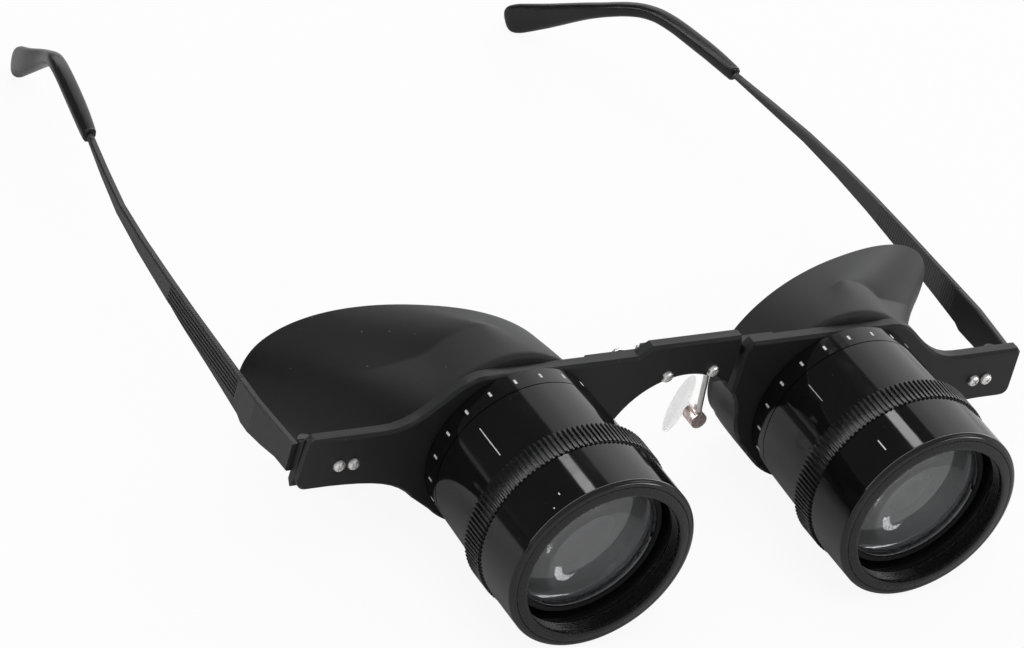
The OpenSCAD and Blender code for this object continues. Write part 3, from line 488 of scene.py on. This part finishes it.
teeth_plastic, start, place, feed = finish("toothed_black", IOR=1.5, Specular_IOR_Level=0.42)
dust = noise(start, place, 300, 3).over(0.5, 0.8)
feed(Base_Color=dust.mix((0.006, 0.006, 0.0065, 1), (0.014, 0.014, 0.014, 1)), Roughness=0.27 + 0.12 * dust)
for side, name, line_r, line_end, line_width in ((-1, "left", 15.996, 13.8, 0.17),
        (1, "right", 15.957, 11.2, 0.1)):
    sleeve = turned(name + "_focus_barrel_sleeve", side, [(14.05, 4.25), (15.80, 4.25), (15.81, 4.26),
        (15.92, 8.0), (16.10, 14.0), (16.19, 16.6), (16.0, 16.62), (15.95, 17.0), (15.9, 21.7),
        (16.0, 21.75), (16.0, 25.0), (15.1, 25.0), (15.1, 17.7), (14.05, 17.7), (14.05, 4.25)])
    handed(sleeve, gloss, name + "_focus_barrel")
    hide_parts(name + "_focus_sleeve")
    handed(toothed_ring(name + "_toothed_ring", side), teeth_plastic, name + "_focus_barrel")
    index = one_piece([mark(side, 140.6, line_r, 6.6, line_end, line_width, 1.7)], name + "_index_line")
    handed(index, mark_paint, name + "_focus_barrel")


# Front housings and front rings
# A smooth polished housing is pressed over the sleeve's front end. A ring with a stepped,
# rounded face is screwed into it, and fine ribs inside its mouth keep stray light off the lens.
ring_black, start, place, feed = finish("ring_black", IOR=1.5, Specular_IOR_Level=0.4)
lathe = noise(start, place, 1500, 3)
feed(Base_Color=lathe.mix((0.006, 0.006, 0.0065, 1), (0.013, 0.013, 0.0135, 1)), Roughness=0.2 + 0.16 * lathe)
for side, name in ((-1, "left"), (1, "right")):
    body = name + "_focus_barrel"
    housing = turned(name + "_housing_shell", side, [(16.04, 21.72), (16.92, 21.72), (17.0, 21.78),
        (17.0, 21.9), (17.0, 31.0), (17.0, 31.12), (16.98, 31.28), (16.90, 31.42), (16.74, 31.52),
        (16.66, 31.52), (16.62, 31.62), (16.5, 31.74), (16.2, 31.83), (15.85, 31.87), (15.85, 28.6),
        (14.45, 28.6), (14.45, 25.2), (16.04, 25.2), (16.04, 21.72)], 192)
    handed(housing, gloss, body)
    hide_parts(name + "_front_housing")
    ribs = [(14.05 + (0.42 if n % 2 else 0.0), 31.3 - 0.2 * n) for n in range(12)]
    lip = turned(name + "_front_lip", side, [(15.8, 28.7), (15.8, 31.80), (15.72, 31.93), (15.5, 32.0),
        (15.1, 32.08), (14.6, 32.18), (14.3, 32.2), (14.12, 32.14), (14.02, 32.0), (14.0, 31.6)] + ribs
        + [(14.45, 28.8), (14.45, 28.7), (15.8, 28.7)], 192)
    handed(lip, ring_black, body)
    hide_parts(name + "_front_ring")
bars = [mark(1, 131.0, 16.97, 25.6, 28.2, 0.26)]
handed(one_piece(bars, "right_housing_mark"), mark_paint, "right_focus_barrel")
dots = [mark(-1, 128.0, 16.98, 28.0, 28.5, 0.24), mark(-1, 134.8, 16.98, 29.8, 30.1, 0.22)]
handed(one_piece(dots, "left_housing_mark"), mark_paint, "left_focus_barrel")


# Objectives
# A coated lens in each sliding cell, held by a thin ring of dark anodised metal. The glass is
# nearly flat in front and more strongly curved behind.
lens_glass, start, place, feed = finish("coated_glass", Transmission_Weight=0.93, IOR=1.66)
wiped = noise(start, place, 160, 4, 0.6).over(0.45, 0.8)
feed(Base_Color=wiped.mix((0.94, 0.95, 0.97, 1), (0.88, 0.89, 0.91, 1)), Roughness=0.004 * wiped)
cell_black, start, place, feed = finish("cell_black", IOR=1.5, Specular_IOR_Level=0.35)
fine = noise(start, place, 1800, 3)
feed(Base_Color=fine.mix((0.012, 0.012, 0.0125, 1), (0.028, 0.028, 0.029, 1)), Roughness=0.42 + 0.2 * fine)
bright_edge, start, place, feed = finish("bright_edge", Metallic=1.0)
anodised = noise(start, place, 1400, 3)
feed(Base_Color=anodised.mix((0.10, 0.10, 0.105, 1), (0.22, 0.22, 0.23, 1)), Roughness=0.22 + 0.15 * anodised)
edge_r, edge_h, bulge, steps = 12.9, 25.3, 1.2, 20
curve = [(edge_r * n / steps, edge_h + bulge * (1 - (n / steps) ** 2)) for n in range(steps, 0, -1)]
curve += [(0.02, edge_h + bulge)]
rear_h, rear_r = 20.9, 38
hollow = [(0.02, rear_h)] + [(r, rear_h + rear_r - math.sqrt(rear_r ** 2 - r * r)) for r in range(1, 13)]
hollow += [(edge_r, 22.9), (edge_r, edge_h)]
for side, name in ((-1, "left"), (1, "right")):
    glass = turned(name + "_objective_glass", side, curve + hollow, 128)
    handed(glass, lens_glass, name + "_objective")
    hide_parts(name + "_objective_lens")
    smoothed(name + "_objective_cell", cell_black, edge=0.05)
    smoothed(name + "_lens_retainer", bright_edge, edge=0.04)


# Eyepieces
# Seen from behind: a ring nut clamps frame and shield, and the eye lens sits in a black cell
# in the tube's end, held by its own ring.
for name in ("left", "right"):
    smoothed(name + "_tube_nut", cell_black, edge=0.08)
    smoothed(name + "_eyepiece_cell", ring_black, edge=0.08)
    smoothed(name + "_eye_lens_ring", ring_black, edge=0.05)
    smoothed(name + "_eye_lens", lens_glass, sharp=40)


# Eye shields
# Soft black rubber cups that keep side light out. A short neck behind the frame opens into a
# round bulge over the eyepiece, and a wide wing flares from it towards the temple, with a soft
# valley between the two. The rim is rolled.
rubber, start, place, feed = finish("matt_rubber", IOR=1.5, Specular_IOR_Level=0.3, Sheen_Weight=0.12,
    Sheen_Roughness=0.5)
pores = noise(start, place, 3600, 3)
bloom = noise(start, place, 45, 4, 0.6)
lint = noise(start, place, 1900, 1).over(0.79, 0.82)
powdery = bloom.mix((0.0105, 0.0105, 0.0112, 1), (0.019, 0.019, 0.020, 1))
feed(Base_Color=lint.mix(powdery, (0.11, 0.11, 0.11, 1)),
    Roughness=0.5 + 0.14 * bloom, Normal=relief(start, pores, 0.00003, 0.5))


def fade(t):
    """From 0 to 1 without a corner at either end."""
    t = min(1.0, max(0.0, t))
    return t * t * (3 - 2 * t)


# The middle of the neck, where it meets the frame, then the rim's middle and the rim's lean
neck_x, neck_y, neck_z, neck_r = 33.6, 2.16, 1, 15.9
rim_x, rim_middle_y, rim_z, rim_lean = 41.4, 19.8, -1.4, math.radians(14.5)


def shield_point(s, degrees):
    """A point of the outer face in millimetres: s runs from 0 at the frame to 1 at the rim."""
    c, q = math.cos(math.radians(degrees)), math.sin(math.radians(degrees))
    valley = 0.0 if degrees > 180 else fade((degrees - 20) / 25) * fade((105 - degrees) / 30)
    edge = max(0.0, 1 - s / 0.06)
    away = neck_r - (1 - math.sqrt(1 - edge * edge))
    x, z = neck_x + away * c, neck_z + away * q
    u = (28.0 if c > 0 else 25.0) * math.copysign(abs(c) ** 0.9, c)
    v = 16.3 * math.copysign(abs(q) ** 0.9, q)
    rim_y = rim_middle_y + u * math.tan(rim_lean)
    w = max(0.0, 2 * s - 1)
    out = valley * w ** 0.92 + (1 - valley) * s ** 1.3
    drum_y = 11.5
    stepped = neck_y + 2 * (drum_y - neck_y) * s if s < 0.5 else drum_y + (rim_y - drum_y) * w
    y = valley * stepped + (1 - valley) * (neck_y + (rim_y - neck_y) * s)
    return x + (rim_x + u - x) * out, y, z + (rim_z + v - z) * out


spokes = 120
for side, name in ((-1, "left"), (1, "right")):
    bpy.ops.object.select_all(action="DESELECT")
    bpy.ops.mesh.primitive_circle_add(vertices=spokes, radius=0.0121, location=(side * sight_x, 0.0034, 0),
        rotation=(math.pi / 2, 0, 0))
    shield = bpy.context.object
    shield.name = name + "_eye_cup"
    bpy.ops.object.transform_apply(location=True, rotation=True, scale=True)
    bpy.ops.object.mode_set(mode="EDIT")
    bpy.ops.mesh.select_all(action="SELECT")
    steps = [0.0, 0.004, 0.01, 0.02, 0.035, 0.05, 0.06] + [0.06 + 0.04 * n for n in range(1, 11)]
    steps += [0.485, 0.5, 0.515] + [0.515 + 0.485 * n / 16 for n in range(1, 17)]
    for n in range(len(steps) + 1):
        bpy.ops.mesh.extrude_region_move(TRANSFORM_OT_translate={"value": (0, 0.0005, 0)})
    bpy.ops.object.mode_set(mode="OBJECT")
    points = shield.data.vertices
    angles = [math.degrees(math.atan2(point.co.z, side * point.co.x - sight_x)) % 360 for point in points]
    for n, t in enumerate(steps):
        for k in range(spokes * (n + 2), spokes * (n + 3)):
            x, y, z = shield_point(t, angles[k])
            points[k].co = (side * x / 1000, y / 1000, z / 1000)
    for k in range(spokes):
        x, y, z = shield_point(0.0, angles[k])
        inner_x, inner_z = neck_x + (x - neck_x) * 0.9, neck_z + (z - neck_z) * 0.9
        points[spokes + k].co = (side * inner_x / 1000, neck_y / 1000, inner_z / 1000)
        points[k].co.y = neck_y / 1000
    alone(shield)
    bpy.ops.object.mode_set(mode="EDIT")
    bpy.ops.mesh.select_all(action="SELECT")
    bpy.ops.mesh.normals_make_consistent(inside=False)
    bpy.ops.object.mode_set(mode="OBJECT")
    wall = shield.modifiers.new("wall", "SOLIDIFY")
    wall.thickness = 0.0011
    wall.offset = -1.0
    bpy.ops.object.modifier_apply(modifier=wall.name)
    lip = shield.modifiers.new("lip", "BEVEL")
    lip.width = 0.00035
    lip.segments = 3
    lip.limit_method = "ANGLE"
    lip.angle_limit = math.radians(60)
    bpy.ops.object.modifier_apply(modifier=lip.name)
    joined(shield)
    bpy.ops.object.shade_smooth_by_angle(angle=math.radians(50))
    handed(shield, rubber, name + "_half")
    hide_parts(name + "_eye_shield")
    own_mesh(shield)


# Temples
# Flat black-coated metal temples. A smooth panel lies behind the hinge, then a pressed grid of
# small square studs, its long grooves in the mesh and its cross cuts in the coating. A plain
# thin part runs on into the ear sock.
coated, start, place, feed = finish("coated_metal", IOR=1.5, Specular_IOR_Level=0.45, Coat_Roughness=0.3)
mottle = noise(start, place, 110, 4)
scuff = noise(start, place, 1300, 3)
along = start.node("ShaderNodeSeparateXYZ", {}, {0: place}, 1)
grid = along.over(0.0212, 0.0214) * (1 - along.over(0.0466, 0.0468))
cut_pitch = 0.00062
cuts = start.math("SINE", along * (2 * math.pi / cut_pitch)).over(-0.4, 0.4) * grid
feed(Base_Color=mottle.mix((0.016, 0.016, 0.017, 1), (0.030, 0.030, 0.031, 1)),
    Roughness=0.3 + 0.12 * scuff + 0.08 * mottle, Normal=relief(start, 0.05 * scuff + cuts, 0.0002, 0.8))
for name in ("left", "right"):
    smoothed(name + "_temple", coated, edge=0.08)


# Ear socks
# Half-gloss plastic socks pushed over the temples' ends, bent down behind the ear and flat at
# the tip.
sock_plastic, start, place, feed = finish("sock_black", IOR=1.5, Specular_IOR_Level=0.32)
touch = noise(start, place, 60, 4)
feed(Base_Color=touch.mix((0.007, 0.007, 0.0075, 1), (0.012, 0.012, 0.0125, 1)), Roughness=0.2 + 0.12 * touch)
for name in ("left", "right"):
    source = name + "_ear_sock"
    sock = smoothed(source, sock_plastic)
    alone(sock)
    soften = sock.modifiers.new("soften", "SUBSURF")
    soften.levels = soften.render_levels = 2
    bpy.ops.object.modifier_apply(modifier=soften.name)
    bpy.ops.object.shade_smooth()


# Nose pads
# A bright wire arm behind the bridge screw carries a small plated box, and a clear silicone
# pad rocks on the box's cross pin.
wire, start, place, feed = finish("bright_wire", Metallic=1.0)
spots = noise(start, place, 900, 3)
feed(Base_Color=spots.mix((0.66, 0.62, 0.60, 1), (0.82, 0.80, 0.79, 1)), Roughness=0.14 + 0.14 * spots)
plated, start, place, feed = finish("warm_plate", Metallic=1.0)
tarnish = noise(start, place, 1100, 3).over(0.35, 0.7)
feed(Base_Color=tarnish.mix((0.93, 0.80, 0.76, 1), (0.62, 0.48, 0.45, 1)), Roughness=0.28 + 0.16 * tarnish)
silicone, start, place, feed = finish("clear_silicone", Transmission_Weight=1.0, IOR=1.41, Alpha=0.22)
cloudy = noise(start, place, 500, 3)
feed(Base_Color=cloudy.mix((0.97, 0.96, 0.96, 1), (1.0, 1.0, 1.0, 1)), Roughness=0.05 + 0.1 * cloudy)
for name in ("left", "right"):
    smoothed(name + "_pad_arm", wire, sharp=50)
    smoothed(name + "_pad_box", plated, edge=0.06)
    smoothed(name + "_nose_pad", silicone)
